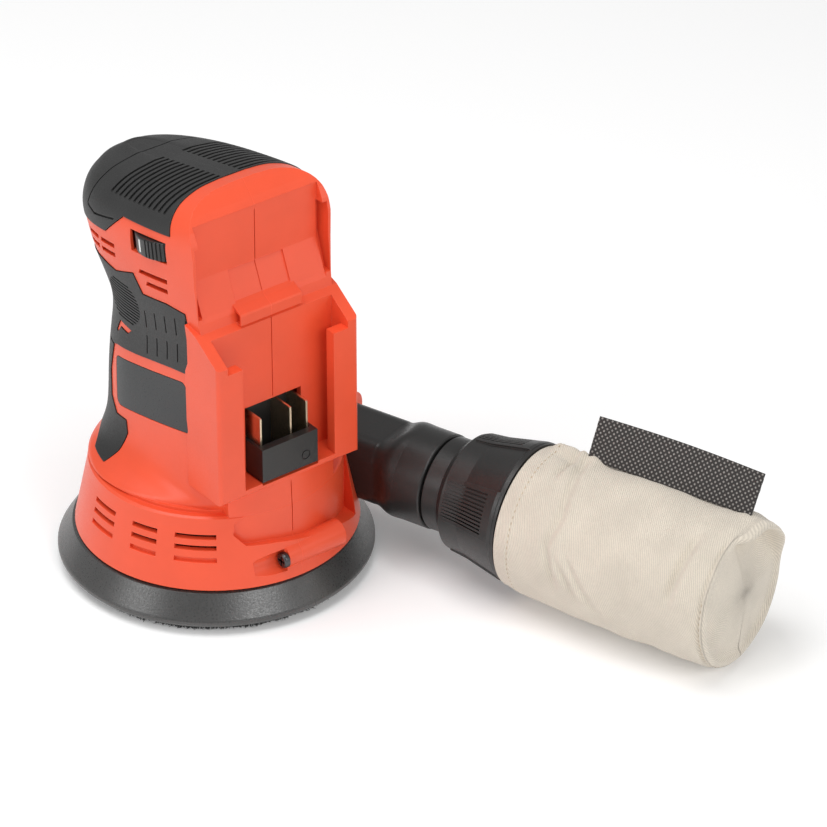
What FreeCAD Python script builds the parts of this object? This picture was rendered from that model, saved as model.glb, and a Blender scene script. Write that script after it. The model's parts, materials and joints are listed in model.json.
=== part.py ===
"""Cordless random orbital sander with a 125 mm pad, battery removed, dust bag fitted.

Frame: +Z up, origin on the motor axis in the plane of the abrasive face,
+Y towards the palm nose, -Y towards the battery seat, +X to the user's right.
All lengths are in millimetres, all angles in degrees.
"""
import FreeCAD, Part
import math
import os

V = FreeCAD.Vector
X_AXIS = V(1, 0, 0)
Y_AXIS = V(0, 1, 0)
Z_AXIS = V(0, 0, 1)
ORIGIN = V(0, 0, 0)
BIG = 200.0

# ---- sanding pad and orbit ----
PAD_RADIUS = 62.5
PAD_OFFSET = 1.25                 # eccentric: half of the 2.5 mm orbit
PAD_TOP = 16.0
HOOK_TOP = 1.2
HOOK_RADIUS = 56.2
DUST_HOLES = 8
DUST_PCD = 65.0
DUST_HOLE_RADIUS = 5.0

# ---- housing skin ----
WALL = 2.6
SKIRT_RADIUS = 56.0
SKIRT_BOTTOM = 17.4
SKIRT_SLOPE = 0.22                # radius lost per millimetre of height
SHOULDER_Z = 42.0
CHIN_RADIUS = 49.6
DECK_Z = 47.5
TILT = 12.0                       # the palm's slope, down towards the nose
DOME_BASE = 148.0
DOME_TOP = 171.6
DOME_HALF_WIDTH = 35.2
DOME_REAR = 52.0
DOME_REAR_HALF_WIDTH = 28.0
ARCH_POWER = 2.8
WIDEST_Y = 5.0                    # where the plan of the grip is widest

# height on the axis, tilt, half width, nose, rear, rear half width, squareness
GRIP_LEVELS = [
    (47.4, 0, 48.0, 48.4, 40, 24.0, 2.05),
    (49.2, 0, 46.4, 47.6, 40, 25.0, 2.1),
    (51.6, 0, 42.0, 46.2, 40, 26.0, 2.2),
    (55.5, 0, 37.6, 44.8, 39, 28.0, 2.4),
    (62, 0, 34.6, 43.0, 39, 30.0, 2.6),
    (75, 0, 33.2, 41.8, 39, 31.0, 2.7),
    (95, 0, 32.3, 39.0, 39, 31.0, 2.8),
    (108, 0, 31.7, 36.6, 40, 30.5, 2.8),
    (116, 0, 31.9, 36.5, 44, 29.5, 2.8),
    (124, 3, 32.8, 39.5, 48, 29.0, 2.8),
    (132, 6, 33.8, 44.5, 50, 28.5, 2.8),
    (140, 9, 34.7, 49.5, 52, 28.0, 2.8),
]
# share of the dome's height, reach of the nose there
DOME_LEVELS = [
    (0.0, 53.0), (0.25, 56.3), (0.45, 58.0), (0.62, 58.6), (0.76, 58.3),
    (0.87, 57.2), (0.94, 55.6), (0.98, 53.5), (0.997, 51.0),
]

# ---- battery seat ----
SEAT_HALF_WIDTH = 32.8
SEAT_REAR = -48.9
SEAT_WALL = -38.3
SEAT_BOTTOM = 57.0
SEAT_TOP = 116.5
SEAT_INNER = 28.0                 # inside of the side walls
LIP_INNER = 21.2                  # inner edge of the rail lips
LIP_FRONT = -44.2
LIP_TOP = 113.6                   # above it the rails are open, so that the pack slides in
LEDGE_Z = 124.8
SLIT_HALF = 0.18
PANEL_HALF = 28.6
TERMINAL_HALF = 13.2
BLADES = (-11.0, 3.0, 10.6)       # where the three contact blades stand
LEAD_SIDES = (-11.6, 10.8)        # where the two supply leads run

# ---- screw that closes the skirt ----
SCREW_REACH = 53.6                # distance of its axis behind the motor axis
SCREW_Z = 25.4

# ---- screws that close the shells, entered from the right ----
SHELL_SCREWS = [(-29.0, 96.0), (-22.4, 143.0), (29.5, 108.0), (31.0, 66.0)]
SCREW_SEAT = 8.0

# ---- grips ----
GRIP_DEPTH = 1.3
GRIP_PROUD = 0.4
GRIP_GAP = 0.25

PALM_GROOVES = 12
PALM_FIRST = -13.2                # where the rearmost groove is
PALM_PITCH = 3.27
NOSE_STEP = 35.5
RIB_GROOVES = 13
RIB_PITCH = 1.4
RIB_CENTRE = (12.0, 119.5)        # y and z of the middle of the oval
RIB_HALF_LENGTH = 10.8
RIB_HALF_HEIGHT = 9.8

# ---- dust outlet ----
OUTLET_ANGLE = 18.0
OUTLET_START = V(48, 0, 34)
OUTLET_DIR = V(math.sin(math.radians(OUTLET_ANGLE)), -math.cos(math.radians(OUTLET_ANGLE)), 0)
PIPE_START = 5.0                  # stations along the outlet's axis, from its start
BOSS_END = 10.5
SOCKET_RADIUS = 19.4
SOCKET_BORE = 17.3
BAG_START = 102.8
BAG_END = 200.0
BAG_RADIUS = 30.5

COLLAR_PAD = 67.0                 # direction of the first finger pad
COLLAR_RIBS = 11
COLLAR_PITCH = 3.3

# stiff strip on the bag's top seam, angles from straight up
STRIP_SEAM = 17.0
STRIP_LEAN = 32.0
STRIP_START = 121.5
STRIP_LENGTH = 72.0
STRIP_HEIGHT = 17.0

# ---- drive ----
PAD_CENTRE = V(0, PAD_OFFSET, 0)
SPINDLE_RADIUS = 6.0
SHAFT_TOP_RADIUS = 2.95
SHAFT_RADIUS = 4.0
MOTOR_RADIUS = 22.0
FAN_RADIUS = 44.0

# ---- speed dial ----
DIAL_RADIUS = 17.5
DIAL_WIDTH = 7.6
DIAL_TILT = 7.5
DIAL_CENTRE = V(-18.9, -8.6, 152.8)
DIAL_INDEX = 166.0                # direction of the first smooth land, for the figure 1
DIAL_FIGURES = 5
DIAL_NOTCHES = 60

# ---- power rocker in the nose ----
ROCKER_HALF_WIDTH = 7.0
ROCKER_HALF_HEIGHT = 9.5
ROCKER_Z = 145.0
ROCKER_PIVOT_Y = 49.6


# ---------------------------------------------------------------- helpers

def box(x0, x1, y0, y1, z0, z1):
    return Part.makeBox(x1 - x0, y1 - y0, z1 - z0, V(x0, y0, z0))


def tube(outer, inner, z0, z1, centre=ORIGIN):
    base = V(centre.x, centre.y, z0)
    ring = Part.makeCylinder(outer, z1 - z0, base)
    if inner > 0:
        ring = ring.cut(Part.makeCylinder(inner, z1 - z0, base))
    return ring


def disc(radius, z0, z1, centre=ORIGIN):
    return tube(radius, 0, z0, z1, centre)


def revolved(points, centre=ORIGIN):
    """A solid of revolution about a vertical axis, from (radius, height) points."""
    ring = [V(r, 0, z) for r, z in points]
    face = Part.Face(Part.makePolygon(ring + [ring[0]]))
    solid = face.revolve(ORIGIN, Z_AXIS, 360)
    solid.translate(V(centre.x, centre.y, 0))
    return solid


def sector(middle, half, reach):
    """A tall wedge about the vertical axis, for keeping part of a turned shape."""
    turns = [math.radians(middle + half * k) for k in (-1, 0, 1)]
    corners = [ORIGIN] + [V(reach * math.cos(t), reach * math.sin(t), 0) for t in turns]
    return Part.Face(Part.makePolygon(corners + [ORIGIN])).extrude(V(0, 0, BIG))


def along_outlet(points):
    """A solid of revolution about the outlet's axis, from (radius, station) points."""
    solid = revolved(points)
    return on_outlet(solid)


def on_outlet(shape):
    """Lays a shape built along +Z along the outlet's axis: its X outwards, its Y upwards."""
    outwards = V(-OUTLET_DIR.y, OUTLET_DIR.x, 0)
    turned = shape.copy()
    turned.Placement = FreeCAD.Placement(
        OUTLET_START, FreeCAD.Rotation(outwards, Z_AXIS, OUTLET_DIR, "ZXY"))
    return turned


def side_prism(points, x0, x1, grow=0.0):
    """A prism along X from (y, z) points in side view, grown outwards if asked."""
    wire = Part.makePolygon([V(0, y, z) for y, z in points + [points[0]]])
    if grow:
        wire = wire.makeOffset2D(grow)
    solid = Part.Face(wire).extrude(V(x1 - x0, 0, 0))
    solid.translate(V(x0, 0, 0))
    return solid


def rounded_panel(points, radius, x0, x1, grow=0.0):
    """A side prism whose outline has rounded corners."""
    prism = side_prism(points, x0, x1)
    edges = [e for e in prism.Edges if abs(e.Length - abs(x1 - x0)) < 0.01]
    prism = prism.makeFillet(radius, edges)
    if grow:
        face = min(prism.Faces, key=lambda f: f.CenterOfMass.x)
        wire = face.OuterWire.makeOffset2D(grow)
        prism = Part.Face(wire).extrude(V(x1 - x0, 0, 0))
    return prism


def mirrored(shape):
    return shape.mirror(ORIGIN, X_AXIS)


def left_half(shape):
    return shape.common(box(-BIG, 0, -BIG, BIG, -BIG, BIG))


def right_half(shape):
    return shape.common(box(0, BIG, -BIG, BIG, -BIG, BIG))


def only_solid(shape):
    """The largest solid of a boolean result."""
    return max(shape.Solids, key=lambda s: s.Volume)


def rounded_box(x0, x1, y0, y1, z0, z1, radius, axis):
    """A box with the four edges along one axis rounded."""
    solid = box(x0, x1, y0, y1, z0, z1)
    edges = [e for e in solid.Edges
             if abs(abs((e.Vertexes[0].Point - e.Vertexes[1].Point).normalize().dot(axis)) - 1) < 0.01]
    return solid.makeFillet(radius, edges)


# ---------------------------------------------------------------- housing skin

def plan_outline(half_width, nose, rear, rear_half_width, power):
    """Points (x, y) round a section: a superellipse nose and gently bowed sides."""
    points = []
    for k in range(4):
        y = -rear + (WIDEST_Y + rear) * k / 4
        bow = ((WIDEST_Y - y) / (WIDEST_Y + rear)) ** 2
        points.append((half_width - (half_width - rear_half_width) * bow, y))
    for k in range(6):
        turn = math.radians(15 * k)
        x = half_width * math.cos(turn) ** (2 / power)
        y = WIDEST_Y + (nose - WIDEST_Y) * math.sin(turn) ** (2 / power)
        points.append((x, y))
    return points + [(0, nose)] + [(-x, y) for x, y in reversed(points)]


def spline_shares(outline):
    """How far along the outline each point is, from 0 to 1."""
    reached = [0.0]
    for (x0, y0), (x1, y1) in zip(outline, outline[1:]):
        reached.append(reached[-1] + math.hypot(x1 - x0, y1 - y0))
    return [length / reached[-1] for length in reached]


# Every section shares these, so that the loft's surface stays light.
SHARES = spline_shares(plan_outline(*GRIP_LEVELS[5][2:]))


def plan_section(height, tilt, half_width, nose, rear, rear_half_width, power):
    """One closed section of the grip, with a flat rear."""
    outline = plan_outline(half_width, nose, rear, rear_half_width, power)
    lean = math.radians(tilt)
    placed = [V(x, y * math.cos(lean), height - y * math.sin(lean)) for x, y in outline]
    curve = Part.BSplineCurve()
    curve.interpolate(Points=placed, Parameters=SHARES)
    return Part.Wire([curve.toShape(), Part.makeLine(placed[-1], placed[0])])


def grip_skin(offset=0.0):
    """The waist and palm grip as one smooth body, offset outwards or inwards."""
    wires = []
    for height, tilt, half_width, nose, rear, rear_half_width, power in GRIP_LEVELS:
        wires.append(plan_section(height, tilt, half_width + offset, nose + offset, rear,
                                  rear_half_width + offset, power))
    dome_height = DOME_TOP - DOME_BASE + offset
    for share, nose in DOME_LEVELS:
        narrow = (1 - share ** ARCH_POWER) ** (1 / ARCH_POWER)
        wires.append(plan_section(DOME_BASE + dome_height * share, TILT,
                                  (DOME_HALF_WIDTH + offset) * narrow, nose + offset, DOME_REAR,
                                  (DOME_REAR_HALF_WIDTH + offset) * narrow, ARCH_POWER))
    return Part.makeLoft(wires, True, False)


def skirt_radius(z):
    return SKIRT_RADIUS - SKIRT_SLOPE * (z - SKIRT_BOTTOM)


def rear_trim():
    """What is cut away behind the palm grip and above the battery seat."""
    profile = [(-60, 40), (SEAT_REAR, 40), (SEAT_REAR, SEAT_TOP), (-35.5, 125.5), (-34.6, 131),
               (-33.7, 146), (-33.7, 157), (-32.6, 162), (-30.4, 166.5), (-27.2, 170.6),
               (-23.6, 174.4), (-21.5, 177), (-20, 190), (-60, 190)]
    return side_prism(profile, -60, 60)


def outer_body():
    """The outside of the housing, before hollowing and details."""
    grip = grip_skin()
    skirt = revolved([(0, SKIRT_BOTTOM), (SKIRT_RADIUS, SKIRT_BOTTOM),
                      (skirt_radius(SHOULDER_Z), SHOULDER_Z), (49.9, DECK_Z - 1.6),
                      (48.9, DECK_Z - 0.9), (46.4, DECK_Z - 0.9), (46.4, DECK_Z + 0.5),
                      (0, DECK_Z + 0.5)])
    seat_profile = [(-28, 128), (-35.5, 125.5), (SEAT_REAR, SEAT_TOP), (SEAT_REAR, SEAT_BOTTOM + 1),
                    (SEAT_REAR + 1, SEAT_BOTTOM), (-28, SEAT_BOTTOM)]
    seat = side_prism(seat_profile, -SEAT_HALF_WIDTH, SEAT_HALF_WIDTH)
    corners = [e for e in seat.Edges if abs(e.BoundBox.YMin - SEAT_REAR) < 0.1
               and abs(e.BoundBox.YMax - SEAT_REAR) < 0.1 and e.BoundBox.ZLength > 40]
    seat = seat.makeFillet(1.6, corners)
    chin = revolved([(0, 20), (CHIN_RADIUS + 0.1, 20), (CHIN_RADIUS, 44), (CHIN_RADIUS - 0.6, 58.5),
                     (0, 58.5)])
    chin = chin.common(box(-25, 25, -60, -20, 40, 70))
    body = grip.cut(rear_trim())
    body = body.fuse([skirt, seat, chin]).cut(crescent_cut())
    boss = volute(0.0).cut(box(-90, 90, -90, 90, 0, SKIRT_BOTTOM))
    screw_boss = Part.makeCylinder(5.4, 27, V(-6, -SCREW_REACH + 3, SCREW_Z), X_AXIS)
    return body.fuse([boss, screw_boss])


def rounded_rectangle(centre_x, half_x, half_y, radius, station):
    """A wire across the outlet's axis, built flat at a height equal to its station."""
    block = rounded_box(centre_x - half_x, centre_x + half_x, -half_y, half_y,
                        station, station + 1, radius, Z_AXIS)
    face = min(block.Faces, key=lambda f: f.CenterOfMass.z)
    return face.OuterWire


def volute(inset):
    """The spiral side of the fan chamber, growing out of the skirt into the outlet boss."""
    throat = rounded_rectangle(-15, 12 - inset, 14 - inset, 6, -36)
    mouth = rounded_rectangle(0, 17.8 - inset, 17.2 - inset, 7, 0)
    end = rounded_rectangle(0, 17.8 - inset, 17.2 - inset, 7, BOSS_END)
    growing = Part.makeLoft([throat, mouth], True, True)
    straight = Part.makeLoft([mouth, end], True, True)
    return on_outlet(growing.fuse(straight))


def pipe_way():
    """The straight way that the black pipe takes through the side of the skirt."""
    start = rounded_rectangle(0, 15.1, 14.5, 7.5, PIPE_START - 0.3)
    end = rounded_rectangle(0, 15.1, 14.5, 7.5, 36)
    return on_outlet(Part.makeLoft([start, end], True, True)).cut(disc(46.0, 0, 60))


def inner_volume():
    """The hollow inside the housing."""
    cavity = grip_skin(-WALL)
    rear_wall = [(-60, 30), (SEAT_WALL + WALL, 30), (SEAT_WALL + WALL, 123), (-31, 130),
                 (-26, 143.5), (-26, 168), (-20, 174), (-18, 190), (-60, 190)]
    cavity = cavity.cut(side_prism(rear_wall, -60, 60))
    skirt = revolved([(0, 0), (SKIRT_RADIUS - WALL + 0.4, 0), (SKIRT_RADIUS - WALL, SKIRT_BOTTOM),
                      (skirt_radius(SHOULDER_Z) - WALL, SHOULDER_Z), (45.8, DECK_Z - WALL),
                      (0, DECK_Z - WALL)])
    foot = revolved([(0, 40), (43.0, 40), (43.0, 48.4), (0, 48.4)])
    hollow = cavity.fuse([skirt, foot, volute(2.6)])
    screw_land = Part.makeCylinder(7.6, 46, V(-23, -SCREW_REACH - 1, SCREW_Z), X_AXIS)
    return hollow.cut([screw_land, crescent_lining()])


# ---------------------------------------------------------------- regions in side view

def top_region():
    """Palm cover, as seen from the side."""
    return [(-20.6, 162.0), (8.5, 158.0), (19.0, 147.6), (40.0, 144.2), (75.0, 141.0),
            (75.0, 195.0), (-8.0, 195.0), (-15.0, 174.0)]


def side_region():
    """Finger grip round the waist, under the head."""
    return [(75.0, 128.0), (45.0, 131.0), (24.0, 132.6), (14.0, 132.0), (2.0, 136.6), (-2.6, 129.2),
            (-17.0, 131.4), (-27.6, 131.4), (-29.4, 121.5), (-29.4, 111.5), (-26.6, 105.0),
            (-17.8, 103.6), (-4.8, 101.0), (5.3, 98.9), (19.6, 96.5), (21.0, 95.6), (75.0, 95.6)]


def front_region():
    """Lower front grip, ending in a lobe on the flared foot."""
    return [(75.0, 94.6), (22.4, 94.6), (25.4, 82.0), (24.4, 71.0), (19.0, 66.0), (11.6, 66.6),
            (9.6, 62.0), (11.0, 55.0), (13.6, 50.6), (25.0, 50.6), (33.0, 53.5), (75.0, 60.0)]


def label_region():
    """Smooth side plate."""
    return [(20.0, 91.2), (-4.8, 96.0), (-26.0, 100.4), (-28.6, 79.4), (-4.9, 74.8), (19.0, 70.4)]


def overmould(region, low=-GRIP_DEPTH, high=GRIP_PROUD):
    """A skin piece on the left: the region between two offsets of the grip."""
    block = side_prism(region, -60, 0)
    piece = block.common(grip_skin(high)).cut(grip_skin(low))
    return only_solid(piece)


def accent_region():
    """The housing shows through the finger grip in the shape of a bracket."""
    return [(16.2, 108.4), (19.1, 103.1), (18.5, 102.5), (16.1, 105.8), (10.7, 105.3), (8.5, 107.5)]


def engraved(piece, blocks, depth):
    """Cuts grooves into a skin piece, their floors following the skin."""
    core = grip_skin(GRIP_PROUD - depth)
    return only_solid(piece.cut(Part.makeCompound(blocks).cut(core)))


def palm_grooves():
    """Transverse grooves on each side of the palm's centre ridge."""
    grooves = []
    for k in range(PALM_GROOVES):
        y = PALM_FIRST + PALM_PITCH * k
        low = 167.0 - 0.59 * k
        grooves.append(box(-31, -4.2, y - 0.82, y + 0.82, low, 185))
    return grooves


def nose_step():
    """A shallow line that sets off the smooth nose and lower edge of the palm cover."""
    across = box(-40, 0.1, NOSE_STEP - 0.4, NOSE_STEP + 0.4, 151.0, 185)
    along = side_prism([(35.5, 150.6), (28.0, 150.2), (13.5, 154.4), (13.5, 155.3), (28.0, 151.1),
                        (35.5, 151.5)], -45, -14)
    return [across.fuse(along)]


def finger_ribs():
    """An oval of fine level grooves where the fingertips rest."""
    grooves = []
    for k in range(RIB_GROOVES):
        z = RIB_CENTRE[1] + RIB_PITCH * (k - (RIB_GROOVES - 1) / 2)
        half = RIB_HALF_LENGTH * math.sqrt(1 - ((z - RIB_CENTRE[1]) / RIB_HALF_HEIGHT) ** 2)
        y = RIB_CENTRE[0]
        grooves.append(box(-45, -8, y - half, y + half, z - 0.36, z + 0.36))
    return grooves


def finger_dashes():
    """Two rows of short upright grooves towards the battery."""
    grooves = []
    for k in range(5):
        y = -2.3 - 6.4 * k
        for top, length in ((121.7 + 1.8 * k, 7.6), (110.6 + 1.7 * k, 8.0)):
            grooves.append(box(-45, -20, y - 0.35, y + 0.35, top - length, top))
    return grooves


def grip_recesses():
    """The pockets in the housing that the left grips lie in."""
    core = grip_skin(-GRIP_DEPTH - 0.02)
    blocks = [side_prism(region, -60, 1, GRIP_GAP)
              for region in (top_region(), side_region(), front_region())]
    label = rounded_panel(label_region(), 2.5, -60, -20, GRIP_GAP)
    blocks[1] = blocks[1].cut(side_prism(accent_region(), -60, 1))
    pockets = [block.cut(core) for block in blocks]
    pockets.append(label.cut(grip_skin(-0.9)))
    return pockets


# ---------------------------------------------------------------- housing details

def skirt_vents():
    """Groups of slots round the skirt; only the two upper rows go right through."""
    cuts = []
    groups = [(225.0, 18.0), (201.6, 12.6), (177.4, 15.5), (76.0, 14.0), (54.0, 14.0)]
    rows = [38.6, 34.2, 29.4]
    for middle, width in groups:
        for row, z in enumerate(rows):
            depth = 1.2 if row == 2 else 8.0
            outer = skirt_radius(z) + 3
            ring = tube(outer, skirt_radius(z) - depth, z - 1.0, z + 1.0)
            start = math.radians(middle - width / 2)
            end = math.radians(middle + width / 2)
            far = 80.0
            wedge = Part.Face(Part.makePolygon([
                V(0, 0, z - 2), V(far * math.cos(start), far * math.sin(start), z - 2),
                V(far * math.cos(end), far * math.sin(end), z - 2), V(0, 0, z - 2)]))
            cuts.append(ring.common(wedge.extrude(V(0, 0, 4))))
    return cuts


def head_vents():
    """Slanted cooling slots in the side of the head, left side."""
    cuts = []
    slope = math.tan(math.radians(DIAL_TILT))
    for y0, y1, z0 in ((-18.9, -2.6, 140.6), (-18.6, -6.4, 136.2)):
        points = [(y0, z0 + 1.0 - slope * (y0 + 10)), (y1, z0 + 1.0 - slope * (y1 + 10)),
                  (y1 + 0.8, z0 - 1.0 - slope * (y1 + 10)), (y0, z0 - 1.0 - slope * (y0 + 10))]
        cuts.append(side_prism(points, -45, -20))
    for z0 in (143.4, 139.4):
        for y0, y1 in ((13.0, 23.0), (25.0, 34.0), (36.0, 43.0)):
            points = [(y0, z0 + 1.0 - slope * (y0 - 13)), (y1, z0 + 1.0 - slope * (y1 - 13)),
                      (y1, z0 - 0.9 - slope * (y1 - 13)), (y0, z0 - 0.9 - slope * (y0 - 13))]
            cuts.append(side_prism(points, -45, -14))
    return cuts


def tilted(shape):
    """Leans a shape so that its vertical axis follows the dial's."""
    leaned = shape.copy()
    leaned.rotate(DIAL_CENTRE, X_AXIS, -DIAL_TILT)
    return leaned


def dial_window():
    """The slot that the speed dial shows through, with a shallow thumb scoop round it."""
    c = DIAL_CENTRE
    half = DIAL_WIDTH / 2 + 0.5
    slot = box(c.x - DIAL_RADIUS - 6, c.x - 2, c.y - 10.7, c.y + 10.7, c.z - half, c.z + half)
    room = tube(DIAL_RADIUS + 0.8, 0, c.z - half, c.z + half, c)
    return tilted(slot.fuse(room))


def seat_cuts():
    """Battery seat: recessed wall, undercut rails, terminal window."""
    between = box(-LIP_INNER, LIP_INNER, -60, SEAT_WALL, SEAT_BOTTOM + 3, LEDGE_Z)
    slots = []
    for side in (-1, 1):
        x0, x1 = sorted((side * (LIP_INNER - 1), side * SEAT_INNER))
        slots.append(box(x0, x1, LIP_FRONT, SEAT_WALL, SEAT_BOTTOM + 3, LIP_TOP + 1))
        slots.append(box(x0, x1, -60, SEAT_WALL, LIP_TOP, LEDGE_Z))
    window = box(-TERMINAL_HALF, TERMINAL_HALF, -60, SEAT_WALL + 10, 59.0, 88.4)
    return [between, window] + slots


def seam_slits():
    """The fine parting line between the shells, where it shows at the rear."""
    wall = [(-39.0, 89.0), (SEAT_WALL + 0.5, 89.0), (SEAT_WALL + 0.5, LEDGE_Z), (-39.0, LEDGE_Z)]
    scoop = [(-50.0, 166.0), (-28.4, 166.0), (-27.5, 144.3), (-32.6, 132.0), (-50.0, 132.0)]
    chin = [(-60.0, 34.0), (0.45 - CHIN_RADIUS, 34.0), (1.0 - CHIN_RADIUS, 56.5), (-60.0, 56.5)]
    return [side_prism(outline, -SLIT_HALF, SLIT_HALF) for outline in (wall, scoop, chin)]


def scoop_cuts():
    """The concave rear panel under the arch, with a channel inside each rim."""
    panel = [(-60, 168.0), (-28.9, 168.0), (-28.6, 144.5), (-33.9, 131.1), (-37.5, LEDGE_Z - 0.2),
             (-60, LEDGE_Z - 0.2)]
    cuts = [side_prism(panel, -PANEL_HALF, PANEL_HALF)]
    dip = [(-60, 144.3), (-27.9, 144.3), (-33.0, 132.0), (-60, 132.0)]
    cuts.append(side_prism(dip, -12.7, 12.7))
    channel = [(-60, 163), (-26.6, 160), (-26.2, 146), (-31.0, 131.5), (-60, 129.5)]
    for side in (-1, 1):
        x0, x1 = sorted((side * 28.4, side * 30.6))
        cuts.append(side_prism(channel, x0, x1))
    return cuts


def latch_bar():
    """The raised bar that the battery's latch hooks under."""
    profile = [(-30.0, 134.5), (-34.6, 131.4), (-38.2, 129.6), (-38.6, 129.0), (-38.6, 125.0),
               (-30.0, 125.0)]
    bar = side_prism(profile, -14.2, 14.2)
    for side in (-1, 1):
        notch = side_prism([(-37.8, 129.0), (-37.8, 125.4), (-35.6, 125.4), (-34.0, 130.2)],
                           *sorted((side * 12.4, side * 14.3)))
        bar = bar.cut(notch)
    return bar


def base_screw_pocket():
    """Access groove for the screw that closes the skirt, and the screw's hole."""
    groove = Part.makeCylinder(4.6, 13, V(-19.5, -SCREW_REACH - 0.8, SCREW_Z), X_AXIS)
    hole = Part.makeCylinder(1.6, 24, V(-7, -SCREW_REACH, SCREW_Z), X_AXIS)
    return [groove, hole]


def crescent_prism(outline):
    """An outline in (x, z), drawn through the rear of the skirt along Y."""
    wire = Part.makePolygon([V(x, -70, z) for x, z in outline + [outline[0]]])
    return Part.Face(wire).extrude(V(0, 45, 0))


def crescent_cut():
    """The slanting ledge between the battery chin and the skirt, lower on the outlet side."""
    ledge = [(-18.0, 47.5), (-23.5, 43.5), (-24.6, 39.0), (-20.8, 34.3), (-9.0, 33.2), (10.0, 29.8),
             (24.8, 26.3), (37.0, 21.8), (40.0, 47.5)]
    return crescent_prism(ledge).cut(disc(CHIN_RADIUS, 0, 60))


def crescent_lining():
    """What closes the skirt behind the ledge."""
    backing = [(-19.0, 46.0), (-27.0, 45.0), (-28.0, 38.0), (-23.0, 31.3), (-9.0, 30.4), (10.0, 27.0),
               (24.8, 23.6), (37.0, 21.5), (44.0, 21.5), (44.0, 46.0)]
    return crescent_prism(backing).cut(disc(CHIN_RADIUS - 2.2, 0, 60))


def inner_ribs():
    """Ribs that hold the motor, and posts for the shell screws."""
    inside = grip_skin(-WALL + 0.3).common(box(-60, 60, -36.5, 60, 50, 180))
    keep_out = [disc(MOTOR_RADIUS + 0.05, 40, 120), box(-14, 14, -40, -29.4, 58, 89)]
    keep_out += [box(x - 2, x + 2, -36, -18, 60, 125) for x in LEAD_SIDES]
    ribs = [inside.common(box(-60, 60, -60, 60, z, z + 2)).cut(keep_out) for z in (78.0, 100.0)]
    posts = []
    for y, z in SHELL_SCREWS:
        right = Part.makeCylinder(4.8, 60, V(0, y, z), X_AXIS)
        left = Part.makeCylinder(3.6, 10, V(-10, y, z), X_AXIS)
        posts += [right.common(grip_skin(-0.5)), left]
    return ribs + posts


def shell_screw_bores():
    bores = []
    for y, z in SHELL_SCREWS:
        bores.append(Part.makeCylinder(3.2, 60, V(SCREW_SEAT, y, z), X_AXIS))
        bores.append(Part.makeCylinder(1.5, SCREW_SEAT + 9.5, V(-9.5, y, z), X_AXIS))
    return bores


def housing_shells():
    """Left and right clamshell halves."""
    body = outer_body()
    details = seat_cuts() + scoop_cuts() + seam_slits()
    body = body.cut(details)
    body = body.cut(inner_volume())
    body = body.fuse([latch_bar()] + inner_ribs())
    body = body.cut(shell_screw_bores() + base_screw_pocket() + [rocker_opening(0.0), pipe_way()])
    side_cuts = grip_recesses() + head_vents()
    skirt_cuts = skirt_vents()
    left = left_half(body).cut(side_cuts + skirt_cuts + [dial_window()])
    right = right_half(body).cut([mirrored(c) for c in side_cuts] + skirt_cuts)
    return only_solid(left), only_solid(right)


# ---------------------------------------------------------------- battery contacts

def terminal_block():
    """Insulator in the battery seat: a tall back plate and a trough in front of it."""
    back = box(-13.0, 13.0, -33.0, -29.5, 59.3, 88.2)
    floor = box(-13.0, 13.0, -46.0, -33.0, 60.3, 63.0)
    front = box(-13.0, 13.0, SEAT_REAR, -45.6, 60.3, 74.6)
    cheeks = [box(-13.0, -11.6, -46.0, -33.0, 60.3, 74.6), box(11.6, 13.0, -46.0, -33.0, 60.3, 74.6)]
    block = back.fuse([floor, front] + cheeks)
    ejector = Part.makeCylinder(2.1, 1, V(7.4, SEAT_REAR - 0.5, 65.2), Y_AXIS)
    ejector = ejector.cut(Part.makeCylinder(1.6, 1, V(7.4, SEAT_REAR - 0.5, 65.2), Y_AXIS))
    slots = [box(x - 0.45, x + 0.45, -34, -31, 63, 86.6) for x in BLADES]
    return block.cut([ejector] + slots).removeSplitter()


def terminal_blades():
    """Three upright blades, their top rear corners rounded."""
    blades = []
    for x in BLADES:
        outline = Part.makePolygon([V(x - 0.4, y, z) for y, z in
                                    [(-47.2, 63.0), (-47.2, 86.4), (-31.1, 86.4), (-31.1, 63.0),
                                     (-47.2, 63.0)]])
        blade = Part.Face(outline).extrude(V(0.8, 0, 0))
        corner = [e for e in blade.Edges if abs(e.CenterOfMass.y + 47.2) < 0.01
                  and abs(e.CenterOfMass.z - 86.4) < 0.01 and e.Length < 1]
        blade = blade.makeFillet(3.2, corner)
        blades.append(blade.common(box(-20, 20, -45.4, -31, 63, 90)))
    return Part.makeCompound(blades)


# ---------------------------------------------------------------- controls

def speed_dial():
    """Thumb wheel on an upright, slightly leaning axis, milled between five smooth lands."""
    c = DIAL_CENTRE
    half = DIAL_WIDTH / 2
    wheel = tube(DIAL_RADIUS, 2.06, c.z - half, c.z + half, c)
    rims = [e for e in wheel.Edges if abs(e.BoundBox.XLength - 2 * DIAL_RADIUS) < 0.1]
    wheel = wheel.makeFillet(0.7, rims)
    notches = []
    for k in range(DIAL_NOTCHES):
        if (k + 2) % (DIAL_NOTCHES // DIAL_FIGURES) < 5:
            continue
        turn = 360.0 * k / DIAL_NOTCHES + DIAL_INDEX
        notch = box(DIAL_RADIUS - 0.5, DIAL_RADIUS + 1, -0.38, 0.38, -half, half)
        notch.rotate(ORIGIN, Z_AXIS, turn)
        notch.translate(c)
        notches.append(notch)
    return tilted(wheel.cut(notches))


def potentiometer():
    c = DIAL_CENTRE
    can = rounded_box(c.x - 5.5, c.x + 5.5, c.y - 5, c.y + 5, c.z - 11.5, c.z - 4.6, 1.0, Z_AXIS)
    stem = disc(2.0, c.z - 4.6, c.z + 3.4, c)
    return tilted(can.fuse(stem))


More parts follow.
